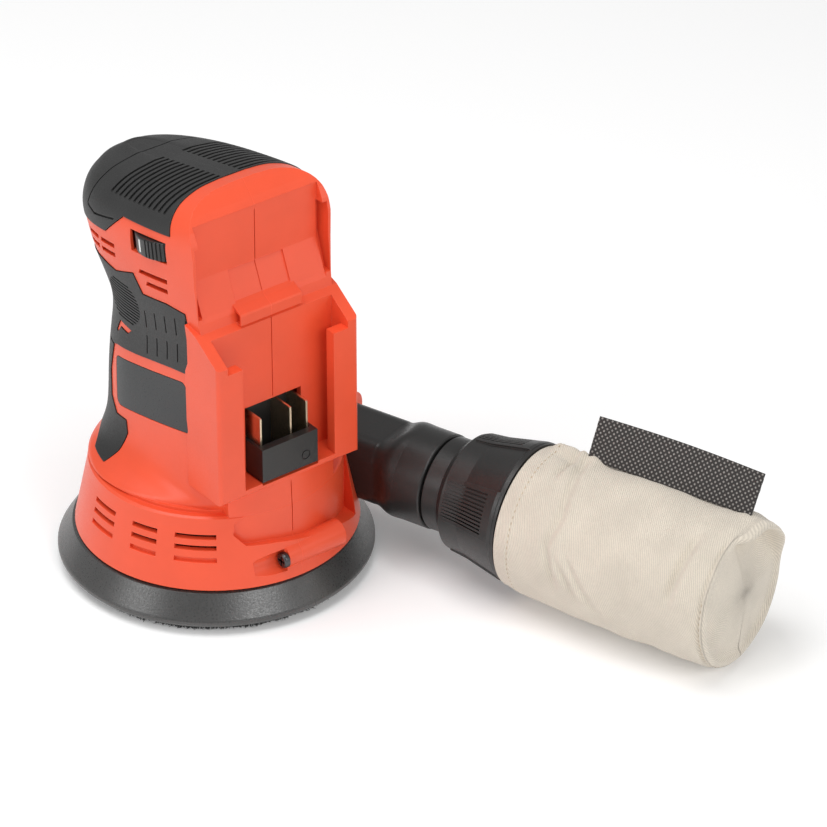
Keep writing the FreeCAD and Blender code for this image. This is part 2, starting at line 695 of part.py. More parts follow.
def rocker_opening(grow):
    """The hole in the nose that the power rocker sits in."""
    half_x = ROCKER_HALF_WIDTH + grow
    half_z = ROCKER_HALF_HEIGHT + grow
    return box(-half_x, half_x, 48, 66, ROCKER_Z - half_z, ROCKER_Z + half_z)


def power_switch():
    """The rocker's frame in the nose and the switch body behind it."""
    frame = rocker_opening(-0.1).common(grip_skin(0.6)).cut(grip_skin(-WALL - 1.0))
    frame = frame.cut(rocker_opening(-1.5))
    body = box(-6.0, 6.0, 38, 47.6, ROCKER_Z - 9, ROCKER_Z + 9)
    posts = [box(x0, x0 + 1.2, 46, 54, ROCKER_Z - 3, ROCKER_Z + 3)
             for x0 in (-ROCKER_HALF_WIDTH + 0.3, ROCKER_HALF_WIDTH - 1.5)]
    well = box(-5.3, 5.3, 46.8, 70, ROCKER_Z - 8.2, ROCKER_Z + 8.2)
    return only_solid(body.fuse([frame] + posts).cut(well))


def power_rocker():
    """The rocker, flush with the nose at rest."""
    pivot = V(-5.0, ROCKER_PIVOT_Y, ROCKER_Z)
    paddle = Part.makeCylinder(7.6, 10.0, pivot, X_AXIS)
    paddle = paddle.common(box(-5.0, 5.0, ROCKER_PIVOT_Y - 0.5, 70, ROCKER_Z - 7.4, ROCKER_Z + 7.4))
    barrel = Part.makeCylinder(1.8, 10.0, pivot, X_AXIS)
    return only_solid(paddle.fuse(barrel).removeSplitter())


def control_board():
    """Speed control electronics above the motor."""
    board = box(-19, 21, -17, 24, 124.6, 126.2)
    capacitor = Part.makeCylinder(5.0, 13, V(12, 14, 126.2), Z_AXIS)
    sink = box(-2, 0, -12, 12, 126.2, 139)
    fins = [box(0, 4.5, y, y + 1.2, 127, 138) for y in (-11, -6.5, -2, 2.5, 7)]
    chip = box(6, 15, -12, -3, 126.2, 128.4)
    return board.fuse([capacitor, sink, chip] + fins)


def lead(points, radius=1.0):
    """A round lead: straight runs joined by tangent arcs."""
    corners = [V(*p) for p in points]
    edges = []
    start = corners[0]
    for before, corner, after in zip(corners, corners[1:], corners[2:]):
        into = corner - before
        out = after - corner
        reach = 0.45 * min(into.Length, out.Length)
        a = corner - into.normalize() * reach
        b = corner + out.normalize() * reach
        middle_way = (into + out).normalize()
        turn = into.getAngle(out)
        bend = reach / math.tan(turn / 2)
        inward = (out - into).normalize()
        centre = corner + inward * (bend / math.cos(turn / 2))
        middle = centre - inward * bend
        edges.append(Part.makeLine(start, a))
        edges.append(Part.Arc(a, middle, b).toShape())
        start = b
    edges.append(Part.makeLine(start, corners[-1]))
    path = Part.Wire(edges)
    section = Part.Wire(Part.makeCircle(radius, corners[0], path.Edges[0].tangentAt(0)))
    return path.makePipeShell([section], True, False)


# ---------------------------------------------------------------- motor and drive

def bearing(outer, inner, z0, z1, centre=ORIGIN):
    """Deep-groove bearing: stepped faces show the two rings and the shield between them."""
    ring = tube(outer, inner, z0, z1, centre)
    mid_out = inner + (outer - inner) * 0.72
    mid_in = inner + (outer - inner) * 0.30
    grooves = [tube(mid_out, mid_in, z0, z0 + 0.5, centre), tube(mid_out, mid_in, z1 - 0.5, z1, centre)]
    return ring.cut(grooves)


def bearing_plate():
    """Ceiling of the fan chamber, holding the lower motor bearing."""
    plate = disc(45.6, 42.0, 44.6)
    boss = disc(14.0, 44.6, 51.4)
    ribs = []
    for k in range(6):
        rib = box(13, 40, -1, 1, 44.6, 46.0)
        rib.rotate(ORIGIN, Z_AXIS, 60 * k + 30)
        ribs.append(rib)
    plate = plate.fuse([boss] + ribs)
    return plate.cut([disc(11.0, 44.4, 51.4), disc(6.0, 41, 45)])


def motor_can():
    can = tube(MOTOR_RADIUS, 20.4, 52.0, 106.0)
    front = tube(20.4, 12.0, 52.0, 53.6)
    windows = []
    for k in range(4):
        window = rounded_box(14, 30, -5, 5, 55, 60, 1.5, X_AXIS)
        window.rotate(ORIGIN, Z_AXIS, 90 * k + 45)
        windows.append(window)
    return can.fuse(front).cut(windows).removeSplitter()


def end_cap():
    """Motor end cap, holding the upper bearing and the brush boxes."""
    cap = tube(MOTOR_RADIUS, 19.0, 106.0, 112.0)
    top = disc(MOTOR_RADIUS, 112.0, 114.4)
    boss = disc(12.5, 107.5, 119.5)
    cap = cap.fuse([top, boss])
    return cap.cut([disc(9.5, 112.6, 117.6), disc(6.0, 100, 113), disc(4.0, 117, 121)])


def magnets():
    pieces = []
    for side in (0, 180):
        arc = tube(20.3, 17.8, 62, 94)
        keep = box(-30, 30, 5, 30, 60, 96)
        keep.rotate(ORIGIN, Z_AXIS, side)
        pieces.append(arc.common(keep))
    return Part.makeCompound(pieces)


def brushes():
    """Two carbon brushes in their brass boxes."""
    pieces = []
    for side in (1, -1):
        x0, x1 = sorted((side * 8.6, side * 17.5))
        pieces.append(box(x0, x1, -2.4, 2.4, 98.5, 104.5))
    return Part.makeCompound(pieces)


def motor_shaft():
    return disc(SHAFT_RADIUS, 33.6, 96.6).fuse(disc(2.95, 96.6, 117.2))


def armature():
    """Laminated core with five slots."""
    core = tube(17.0, SHAFT_RADIUS, 64, 92)
    slots = []
    for k in range(5):
        slot = box(8, 20, -2.2, 2.2, 60, 96)
        slot.rotate(ORIGIN, Z_AXIS, 72 * k)
        slots.append(slot)
    return core.cut(slots)


def windings():
    """Copper coils above, below and in the slots of the core."""
    pieces = tube(14.5, SHAFT_RADIUS, 58, 64).fuse(tube(14.5, SHAFT_RADIUS, 92, 96))
    bars = []
    for k in range(5):
        bar = box(8.4, 15.6, -2.0, 2.0, 63, 93)
        bar.rotate(ORIGIN, Z_AXIS, 72 * k)
        bars.append(bar.common(tube(16.4, 8.4, 60, 95)))
    return only_solid(pieces.fuse(bars))


def commutator():
    drum = tube(8.2, 2.95, 97.0, 106.0)
    gaps = []
    for k in range(10):
        gap = box(7.4, 9, -0.25, 0.25, 96, 107)
        gap.rotate(ORIGIN, Z_AXIS, 36 * k)
        gaps.append(gap)
    return drum.cut(gaps)


def eccentric_hub():
    """Holds the pad's bearing off centre, and grips the motor shaft."""
    hub = disc(18.4, 21.0, 40.6)
    bore = disc(14.0, 20.0, 29.2, PAD_CENTRE)
    well = disc(10.5, 29.0, 32.0, PAD_CENTRE)
    return hub.cut([bore, well, disc(SHAFT_RADIUS, 33.6, 41)])


def fan():
    """Dust and cooling fan: a disc with backward-curved blades below it."""
    plate = tube(FAN_RADIUS, 18.4, 33.4, 35.0)
    collar = tube(20.6, 18.4, 26.0, 35.0)
    blades = []
    for k in range(14):
        blade = box(21.5, FAN_RADIUS - 0.6, -0.8, 0.8, 24.0, 33.4)
        blade.rotate(V(21.5, 0, 0), Z_AXIS, 24)
        blade = blade.common(disc(FAN_RADIUS - 0.3, 23, 34))
        blade.rotate(ORIGIN, Z_AXIS, 360.0 * k / 14)
        blades.append(blade)
    return plate.fuse([collar] + blades)


def counterweight():
    """Half-moon weight that balances the pad, opposite the eccentric."""
    moon = tube(38.0, 18.4, 35.0, 39.4)
    return moon.common(box(-60, 60, -60, -4, 30, 45))


def pad_spindle():
    """Pad axle: a flange under the pad's bearing and a stub through it."""
    stub = disc(6.0, 20.4, 29.6, PAD_CENTRE)
    flange = disc(10.0, 17.6, 20.4, PAD_CENTRE)
    return stub.fuse(flange).cut(disc(2.5, 10, 29, PAD_CENTRE))


def retaining_ring():
    return tube(7.6, 6.0, 28.7, 29.6, PAD_CENTRE).fuse(disc(7.6, 29.6, 30.4, PAD_CENTRE))


def dust_hole_cutters(z0, z1):
    cutters = []
    for k in range(DUST_HOLES):
        turn = math.radians(360.0 * (k + 0.5) / DUST_HOLES)
        centre = PAD_CENTRE + V(math.cos(turn), math.sin(turn), 0) * (DUST_PCD / 2)
        cutters.append(disc(DUST_HOLE_RADIUS, z0, z1, centre))
    return cutters


def backing_plate():
    """Rigid nylon core of the pad, screwed to its spindle."""
    plate = disc(47.6, 9.0, 13.0, PAD_CENTRE)
    hub = disc(17.0, 13.0, 17.6, PAD_CENTRE)
    ribs = []
    for k in range(8):
        rib = box(16, 46, -1.1, 1.1, 13.0, 15.4)
        rib.rotate(ORIGIN, Z_AXIS, 45 * k)
        rib.translate(PAD_CENTRE)
        ribs.append(rib)
    plate = plate.fuse([hub] + ribs)
    return plate.cut(dust_hole_cutters(8, 16) + [disc(2.7, 8, 18, PAD_CENTRE),
                                                 disc(5.6, 8, 12.4, PAD_CENTRE)])


def pad_screw():
    head = disc(5.0, 9.4, 12.4, PAD_CENTRE)
    shank = disc(2.45, 12.4, 26.0, PAD_CENTRE)
    hexagon = Part.Face(Part.makePolygon([
        PAD_CENTRE + V(2.4 * math.cos(math.radians(60 * k)), 2.4 * math.sin(math.radians(60 * k)), 9.4)
        for k in range(7)])).extrude(V(0, 0, 2))
    return head.fuse(shank).cut(hexagon)


def foam_pad():
    """Moulded foam pad with its bevelled rim."""
    profile = [(8.0, HOOK_TOP), (57.4, HOOK_TOP), (61.7, 3.8), (62.5, 5.0), (62.5, 6.0), (62.1, 6.8),
               (56.4, 15.6), (55.4, PAD_TOP), (49.0, PAD_TOP), (47.8, 9.0), (8.0, 9.0)]
    return revolved(profile, PAD_CENTRE).cut(dust_hole_cutters(1, 10))


def hook_layer():
    return tube(HOOK_RADIUS, 8.0, 0.0, HOOK_TOP, PAD_CENTRE).cut(dust_hole_cutters(-1, 2))


def brake_ring():
    """Rubber brake lip inside the skirt, just clear of the pad, with gaps for the boss and the pipe."""
    ring = revolved([(50.4, 17.6), (53.0, 17.6), (52.2, 21.0), (49.4, 21.0)])
    gaps = [box(-24.5, 24.5, -60, -40, 17, 22), box(30, 60, -42, -4, 19, 22)]
    return ring.cut(gaps)


# ---------------------------------------------------------------- dust collection

def exhaust_outlet():
    """Black pipe: a rounded square flaring to a round socket."""
    square = rounded_rectangle(0, 15.0, 14.4, 7.5, PIPE_START)
    square_end = rounded_rectangle(0, 15.0, 14.4, 7.5, 37)
    outside = Part.makeLoft([square, square_end], True, True)
    hole = rounded_rectangle(0, 12.8, 12.0, 5.5, PIPE_START)
    hole_end = rounded_rectangle(0, 12.8, 12.0, 5.5, 41)
    inside = Part.makeLoft([hole, hole_end], True, True)
    widening = [(15.0, 14.4, 7.5, 37), (15.4, 14.9, 8.5, 40), (17.4, 17.1, 12.5, 43.5),
                (18.9, 18.8, 17.0, 46.5), (SOCKET_RADIUS, SOCKET_RADIUS, SOCKET_RADIUS - 0.1, 49.5)]
    flare = Part.makeLoft([rounded_rectangle(0, *size) for size in widening], True, False)
    socket = Part.makeCylinder(SOCKET_RADIUS, 12.7, V(0, 0, 49.5), Z_AXIS)
    rim = [e for e in socket.Edges if abs(e.CenterOfMass.z - 62.2) < 0.01]
    socket = socket.makeFillet(0.8, rim)
    bore = Part.makeCylinder(SOCKET_BORE, 20, V(0, 0, 47), Z_AXIS)
    throat = Part.makeCone(12.0, SOCKET_BORE, 6, V(0, 0, 41), Z_AXIS)
    pipe = outside.fuse([flare, socket]).cut([inside, bore, throat])
    return only_solid(on_outlet(pipe).cut(disc(46.4, 0, 60)))


def bag_neck():
    """Adaptor tube that plugs into the outlet's socket."""
    return along_outlet([(14.8, 49.6), (17.0, 49.6), (17.0, 63.0), (19.0, 63.4), (19.0, 73.2),
                         (21.6, 75.8), (21.6, 102.4), (19.8, 102.4), (19.8, 77.0), (14.8, 71.0)])


def locking_collar():
    """Twist ring with four raised finger pads, ribbed and framed."""
    inner = [(22.0, 102.2), (22.0, 74.6), (19.4, 72.0)]
    shell = along_outlet([(19.4, 71.2), (20.6, 71.2), (23.6, 74.2), (24.2, 83.0), (27.6, 99.6),
                          (28.2, 100.4), (28.2, 102.2)] + inner)
    raised = revolved([(22.5, 75.0), (24.2, 75.6), (25.0, 83.0), (28.4, 99.4), (28.4, 101.0),
                       (22.5, 101.0)])
    ribbed = revolved([(23.0, 74.0), (26.0, 74.0), (28.0, 95.6), (26.65, 95.6), (24.30, 84.0),
                       (23.7, 74.0)])
    pads = []
    grooves = []
    for quarter in range(4):
        middle = COLLAR_PAD + 90 * quarter
        pads.append(raised.common(sector(middle, 21.5, 30)))
        for k in range(COLLAR_RIBS):
            turn = middle + COLLAR_PITCH * (k - (COLLAR_RIBS - 1) / 2)
            grooves.append(ribbed.common(sector(turn, COLLAR_PITCH / 4.2, 30)))
    pads = [on_outlet(pad) for pad in pads]
    return shell.fuse(pads).cut([on_outlet(groove) for groove in grooves])


def dust_bag():
    """The cloth bag, full: a closed body with rounded end."""
    return along_outlet([(0, BAG_START), (28.8, BAG_START), (29.4, 110.0), (BAG_RADIUS, 132.0),
                         (BAG_RADIUS, 190.0), (29.4, 196.0), (25.0, BAG_END), (0, BAG_END)])


def bag_strip():
    """Stiff closing strip standing along the top seam of the bag."""
    seam = math.radians(STRIP_SEAM)
    lean = math.radians(STRIP_LEAN)
    foot = V(math.sin(seam) * (BAG_RADIUS + 0.3), math.cos(seam) * (BAG_RADIUS + 0.3), STRIP_START)
    up = V(math.sin(lean), math.cos(lean), 0)
    side = V(math.cos(lean), -math.sin(lean), 0)
    corner = foot - side * 0.5
    outline = [corner, corner + side, corner + side + up * STRIP_HEIGHT, corner + up * STRIP_HEIGHT]
    strip = Part.Face(Part.makePolygon(outline + [outline[0]])).extrude(V(0, 0, STRIP_LENGTH))
    return on_outlet(strip)


# ---------------------------------------------------------------- fasteners

def skirt_screw():
    """Pan-head screw, cross recess facing -X."""
    axis = V(-7.2, -SCREW_REACH, SCREW_Z)
    head = Part.makeCylinder(3.15, 2.2, axis - X_AXIS * 1.5, X_AXIS)
    rim = [e for e in head.Edges if abs(e.CenterOfMass.x - (axis.x - 1.5)) < 0.01]
    head = head.makeFillet(1.1, rim)
    shank = Part.makeCylinder(1.55, 20, axis, X_AXIS)
    arms = [box(axis.x - 3, axis.x - 0.4, axis.y - w, axis.y + w, axis.z - h, axis.z + h)
            for w, h in ((0.45, 2.0), (2.0, 0.45))]
    return head.fuse(shank).cut(arms)


def housing_screws():
    """Screws that close the shells, entered from the right down deep counterbores."""
    screws = []
    for y, z in SHELL_SCREWS:
        head = Part.makeCylinder(2.9, 2.0, V(SCREW_SEAT, y, z), X_AXIS)
        shank = Part.makeCylinder(1.45, SCREW_SEAT + 8, V(-8, y, z), X_AXIS)
        arms = [box(SCREW_SEAT + 0.9, SCREW_SEAT + 3, y - w, y + w, z - h, z + h)
                for w, h in ((0.4, 1.8), (1.8, 0.4))]
        screws.append(head.fuse(shank).cut(arms))
    return Part.makeCompound(screws)


# ---------------------------------------------------------------- left and right pieces

def label_plate():
    """Smooth plate let into the left side."""
    block = rounded_panel(label_region(), 2.5, -60, -20)
    return only_solid(block.common(grip_skin(0.0)).cut(grip_skin(-0.88)))


def screw_holes(radius):
    return [Part.makeCylinder(radius, 60, V(SCREW_SEAT, y, z), X_AXIS) for y, z in SHELL_SCREWS]


def supply_leads():
    paths = []
    for x in LEAD_SIDES:
        paths.append(lead([(x, -28.9, 70), (x, -22.8, 72), (x, -22.8, 117), (x, -13.5, 119),
                           (x, -13.5, 124.6)]))
    return Part.makeCompound(paths)


def motor_leads():
    return Part.makeCompound([disc(1.0, 114.4, 124.6, V(x, 9, 0)) for x in (-15, 15)])


def switch_leads():
    paths = []
    for x in (-3.5, 3.5):
        paths.append(lead([(x, 37.8, 140), (x, 29, 139), (x, 20, 134), (x, 20, 126.2)]))
    return Part.makeCompound(paths)


def both_sides(name, piece, right_cuts=None):
    """The left piece and its mirror image, as two nodes."""
    other = mirrored(piece)
    if right_cuts:
        other = only_solid(other.cut(right_cuts))
    return {name + "_left": piece, name + "_right": other}


def build():
    parts = {}
    parts["housing_left"], parts["housing_right"] = housing_shells()
    holes = screw_holes(3.3)
    palm = engraved(overmould(top_region()), palm_grooves() + nose_step(), 0.9)
    parts.update(both_sides("palm_grip", palm))
    nose = rocker_opening(0.3)
    parts["palm_grip_left"] = only_solid(parts["palm_grip_left"].cut(nose))
    parts["palm_grip_right"] = only_solid(parts["palm_grip_right"].cut(nose))
    side = overmould(side_region()).cut(side_prism(accent_region(), -60, 1, GRIP_GAP))
    side = engraved(side, finger_ribs() + finger_dashes(), 0.6)
    parts.update(both_sides("side_grip", side, holes))
    parts.update(both_sides("front_grip", overmould(front_region()), holes))
    parts.update(both_sides("label_plate", label_plate()))
    parts["terminal_block"] = terminal_block()
    parts["terminal_blades"] = terminal_blades()
    parts["speed_dial"] = speed_dial()
    parts["potentiometer"] = potentiometer()
    parts["power_switch"] = power_switch()
    parts["power_rocker"] = power_rocker()
    parts["control_board"] = control_board()
    parts["supply_leads"] = supply_leads()
    parts["motor_leads"] = motor_leads()
    parts["switch_leads"] = switch_leads()
    parts["bearing_plate"] = bearing_plate()
    parts["lower_bearing"] = bearing(11.0, SHAFT_RADIUS + 0.05, 44.4, 51.4)
    parts["upper_bearing"] = bearing(9.5, SHAFT_TOP_RADIUS + 0.05, 112.6, 117.6)
    parts["motor_can"] = motor_can()
    parts["motor_end_cap"] = end_cap()
    parts["magnets"] = magnets()
    parts["brushes"] = brushes()
    parts["motor_shaft"] = motor_shaft()
    parts["armature"] = armature()
    parts["windings"] = windings()
    parts["commutator"] = commutator()
    parts["eccentric_hub"] = eccentric_hub()
    parts["fan"] = fan()
    parts["counterweight"] = counterweight()
    parts["pad_bearing"] = bearing(14.0, SPINDLE_RADIUS + 0.05, 21.2, 28.6, PAD_CENTRE)
    parts["pad_spindle"] = pad_spindle()
    parts["retaining_ring"] = retaining_ring()
    parts["backing_plate"] = backing_plate()
    parts["pad_screw"] = pad_screw()
    parts["foam_pad"] = foam_pad()
    parts["hook_layer"] = hook_layer()
    parts["brake_ring"] = brake_ring()
    parts["exhaust_outlet"] = exhaust_outlet()
    parts["bag_neck"] = bag_neck()
    parts["locking_collar"] = locking_collar()
    parts["dust_bag"] = dust_bag()
    parts["bag_strip"] = bag_strip()
    parts["skirt_screw"] = skirt_screw()
    parts["housing_screws"] = housing_screws()
    return parts


os.makedirs("parts", exist_ok=True)
for name, shape in build().items():
    shape.exportStep("parts/" + name + ".step")
    print(name, shape.isValid(), len(shape.Solids), round(shape.Volume))
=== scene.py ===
"""Looks of the cordless random orbital sander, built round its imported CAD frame.

Everything is in metres in the part's frame: +Z up the motor axis from the abrasive face,
+Y towards the palm nose, -Y towards the battery seat, +X to the user's right.
"""
import bpy
import json
import math
import numpy as np
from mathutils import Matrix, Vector, noise


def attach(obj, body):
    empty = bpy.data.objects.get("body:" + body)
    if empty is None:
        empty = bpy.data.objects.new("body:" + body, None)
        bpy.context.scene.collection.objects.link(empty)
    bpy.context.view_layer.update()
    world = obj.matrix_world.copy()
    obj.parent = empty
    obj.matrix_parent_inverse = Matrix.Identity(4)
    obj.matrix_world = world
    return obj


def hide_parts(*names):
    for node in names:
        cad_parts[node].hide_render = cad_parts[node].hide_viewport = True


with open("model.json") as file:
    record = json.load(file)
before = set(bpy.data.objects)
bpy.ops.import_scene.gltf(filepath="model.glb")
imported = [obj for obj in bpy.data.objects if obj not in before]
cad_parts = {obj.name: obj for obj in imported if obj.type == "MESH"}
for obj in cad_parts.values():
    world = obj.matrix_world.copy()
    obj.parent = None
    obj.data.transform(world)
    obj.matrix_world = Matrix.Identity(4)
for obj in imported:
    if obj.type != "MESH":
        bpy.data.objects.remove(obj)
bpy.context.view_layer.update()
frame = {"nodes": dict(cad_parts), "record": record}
MM = 0.001

# ---- the dust outlet's axis, which the bag and its strip are built along ----
OUTLET_ANGLE = math.radians(18)
OUTLET_START = Vector((0.048, 0, 0.034))
OUTLET_DIR = Vector((math.sin(OUTLET_ANGLE), -math.cos(OUTLET_ANGLE), 0))
OUTWARD = Vector((math.cos(OUTLET_ANGLE), math.sin(OUTLET_ANGLE), 0))
UPWARD = Vector((0, 0, 1))

# ---- the cloth bag, in millimetres along and round that axis ----
BAG_START = 102.8
BAG_END = 195.6
HEM_END = 110.2
BAG_DROP = 0.9                    # how far the cloth sags below the outlet's axis
END_TRIM = 1.3                    # how much narrower the cloth is where the end panel starts
CLOTH_RADIUS = 29.7               # mean radius, for laying the cloth's pattern
SEAM_TURN = math.radians(17)
STRIP_START = 121.5
STRIP_LENGTH = 72.0
STRIP_HEIGHT = 17.0
STRIP_LEAN = math.radians(32)
STRIP_FOOT = 29.6                 # where the strip grows out of the cloth
STRIP_HALF = 0.45                 # half its thickness

# ---- the fringe of loose hooks round the pad ----
PAD_CENTRE = Vector((0, 0.00125, 0))
HOOK_RADIUS = 0.0562
FRINGE_HAIRS = 1500

# ---- the speed dial ----
DIAL_CENTRE = Vector((-0.0189, -0.0086, 0.1528))
DIAL_RADIUS = 0.0175
DIAL_TILT = math.radians(7.5)
FIRST_FIGURE = math.radians(171.0)
FIGURES = 5
FIGURE_SIZE = 0.0068
FIGURE_STANDS = 0.00007           # how far a figure stands off the dial's rim


# ---------------------------------------------------------------- material helpers

def new_material(name):
    material = bpy.data.materials.new(name)
    material.use_nodes = True
    return material, material.node_tree, material.node_tree.nodes["Principled BSDF"]


def add(tree, kind, inputs=None, **settings):
    """A node, its settings, and its inputs: each a value or another node's output."""
    made = tree.nodes.new(kind)
    for key, value in settings.items():
        setattr(made, key, value)
    for key, value in (inputs or {}).items():
        if isinstance(value, bpy.types.NodeSocket):
            tree.links.new(value, made.inputs[key])
        else:
            made.inputs[key].default_value = value
    return made


def noise_field(tree, where, size, detail=2.0, rough=0.5):
    """Noise whose features are about `size` metres across."""
    made = add(tree, "ShaderNodeTexNoise",
               {"Vector": where, "Scale": 1 / size, "Detail": detail, "Roughness": rough})
    return made.outputs["Fac"]


def spread(tree, value, low, high, start=0.35, end=0.65):
    """Maps start..end of a value to low..high."""
    made = add(tree, "ShaderNodeMapRange",
               {"Value": value, "From Min": start, "From Max": end, "To Min": low, "To Max": high})
    return made.outputs["Result"]


def mixed(tree, factor, first, second):
    made = add(tree, "ShaderNodeMix", data_type="RGBA")
    for key, value in ((0, factor), (6, first), (7, second)):
        if isinstance(value, bpy.types.NodeSocket):
            tree.links.new(value, made.inputs[key])
        else:
            made.inputs[key].default_value = value
    return made.outputs[2]


def shade(colour, by):
    return tuple(channel * by for channel in colour) + (1.0,)


def math_node(tree, operation, first, second=0.5):
    made = add(tree, "ShaderNodeMath", {0: first, 1: second}, operation=operation)
    return made.outputs[0]


def object_place(tree):
    return add(tree, "ShaderNodeTexCoord").outputs["Object"]


def bumped(tree, shader, height, depth, strength=1.0, soft=0.0):
    """Bump by a height field, over edges rounded by `soft` metres if asked."""
    inputs = {"Height": height, "Distance": depth, "Strength": strength}
    if soft:
        rounded = add(tree, "ShaderNodeBevel", {"Radius": soft}, samples=4)
        inputs["Normal"] = rounded.outputs["Normal"]
    bump = add(tree, "ShaderNodeBump", inputs)
    tree.links.new(bump.outputs["Normal"], shader.inputs["Normal"])


def moulded(name, colour, roughness, grain, depth, soft=0.0003, variation=0.05, edge=1.25,
            specular=0.5):
    """Moulded plastic or rubber: spark-eroded grain, faint mottling, and a painted highlight that
    lightens the colour along its edges.
    """
    material, tree, shader = new_material(name)
    where = object_place(tree)
    cloud = noise_field(tree, where, 0.018, 3.0)
    base = mixed(tree, spread(tree, cloud, 0, 1), shade(colour, 1 - variation),
                 shade(colour, 1 + variation))
    rounded = add(tree, "ShaderNodeBevel", {"Radius": soft * 1.6}, samples=4)
    flat = add(tree, "ShaderNodeNewGeometry")
    turn = add(tree, "ShaderNodeVectorMath",
               {0: rounded.outputs["Normal"], 1: flat.outputs["Normal"]}, operation="DOT_PRODUCT")
    # painted highlight: the colour is lightened by `edge` where the rounded normal turns away from the
    # flat one, along the edges
    painted_edge_highlight = spread(tree, turn.outputs["Value"], 0.75, 0.0, 0.80, 0.995)
    tone = mixed(tree, painted_edge_highlight, base, shade(colour, edge))
    tree.links.new(tone, shader.inputs["Base Color"])
    fine = noise_field(tree, where, grain, 2.0, 0.6)
    tree.links.new(spread(tree, fine, roughness - 0.07, roughness + 0.07), shader.inputs["Roughness"])
    shader.inputs["Specular IOR Level"].default_value = specular
    bumped(tree, shader, fine, depth, 0.6, soft)
    return material


def machined(name, colour, roughness, metallic=1.0, grain=0.0004):
    """Turned or pressed metal with fine scratches."""
    material, tree, shader = new_material(name)
    where = object_place(tree)
    stretched = add(tree, "ShaderNodeMapping", {"Vector": where, "Scale": (1, 1, 12)})
    scratches = noise_field(tree, stretched.outputs["Vector"], grain, 3.0, 0.6)
    base = mixed(tree, spread(tree, scratches, 0, 1), shade(colour, 0.85), shade(colour, 1.1))
    tree.links.new(base, shader.inputs["Base Color"])
    shader.inputs["Metallic"].default_value = metallic
    tree.links.new(spread(tree, scratches, roughness - 0.08, roughness + 0.1),
                   shader.inputs["Roughness"])
    bumped(tree, shader, scratches, 0.00002, 0.4, 0.0002)
    return material


def weave_height(tree, across, along, pitch):
    """The height of a plain weave: two crossed sine waves, `pitch` metres from thread to thread."""
    turns = 2 * math.pi / pitch
    first = math_node(tree, "SINE", math_node(tree, "MULTIPLY", across, turns))
    second = math_node(tree, "SINE", math_node(tree, "MULTIPLY", along, turns))
    return math_node(tree, "MULTIPLY", first, second)


def cotton(name, colour):
    """Undyed twill: fine slanting ribs, a fuzzy surface, cloudy tone, painted shade in the weave's
    hollows and a matt sheen.
    """
    thread_pitch, rib_pitch, rib_slant = 0.00062, 0.0008, 0.35
    material, tree, shader = new_material(name)
    flat = add(tree, "ShaderNodeUVMap", uv_map="cloth").outputs["UV"]
    split = add(tree, "ShaderNodeSeparateXYZ", {0: flat})
    across, along = split.outputs[0], split.outputs[1]
    wander = noise_field(tree, flat, 0.004, 2.0)
    along_bent = math_node(tree, "ADD", along, math_node(tree, "MULTIPLY", wander, 0.0004))
    crossed = weave_height(tree, across, along_bent, thread_pitch)
    slanted = math_node(tree, "ADD", along_bent, math_node(tree, "MULTIPLY", across, rib_slant))
    twill = math_node(tree, "SINE", math_node(tree, "MULTIPLY", slanted, 2 * math.pi / rib_pitch))
    fuzz = noise_field(tree, object_place(tree), 0.0006, 4.0, 0.7)
    cloud = noise_field(tree, object_place(tree), 0.012, 3.0)
    height = math_node(tree, "ADD", math_node(tree, "MULTIPLY", twill, 0.35),
                       math_node(tree, "ADD", math_node(tree, "MULTIPLY", crossed, 0.2), fuzz))
    base = mixed(tree, spread(tree, cloud, 0, 1), shade(colour, 0.93), shade(colour, 1.04))
    # painted shade: the colour darkens where the weave's height is low, in the hollows between the
    # threads
    painted_hollow_shade = mixed(tree, spread(tree, height, 0.75, 0.0, 0.1, 0.9), base, shade(colour, 0.66))
    tree.links.new(painted_hollow_shade, shader.inputs["Base Color"])
    shader.inputs["Roughness"].default_value = 0.92
    shader.inputs["Specular IOR Level"].default_value = 0.2
    shader.inputs["Sheen Weight"].default_value = 0.25
    shader.inputs["Sheen Roughness"].default_value = 0.6
    bumped(tree, shader, height, 0.00022, 0.9)
    return material


def embossed(name, colour, spot_colour, pitch):
    """Black non-woven with a diamond grid of pale bonded points."""
    material, tree, shader = new_material(name)
    flat = add(tree, "ShaderNodeUVMap", uv_map="cloth").outputs["UV"]
    turned = add(tree, "ShaderNodeMapping", {"Vector": flat, "Rotation": (0, 0, math.radians(45))})
    spots = add(tree, "ShaderNodeTexVoronoi",
                {"Vector": turned.outputs["Vector"], "Scale": 1 / pitch, "Randomness": 0.06})
    distance = spots.outputs["Distance"]
    fibres = noise_field(tree, object_place(tree), 0.0004, 4.0, 0.7)
    mask = spread(tree, distance, 1.0, 0.0, 0.18, 0.33)
    patchy = math_node(tree, "MULTIPLY", mask, spread(tree, fibres, 0.45, 1.0))
    base = mixed(tree, spread(tree, fibres, 0, 1), shade(colour, 0.75), shade(colour, 1.35))
    tree.links.new(mixed(tree, patchy, base, shade(spot_colour, 1.0)), shader.inputs["Base Color"])
    shader.inputs["Roughness"].default_value = 0.85
    shader.inputs["Sheen Weight"].default_value = 0.15
    height = math_node(tree, "SUBTRACT", math_node(tree, "MULTIPLY", fibres, 0.5), mask)
    bumped(tree, shader, height, 0.00018, 0.8)
    return material


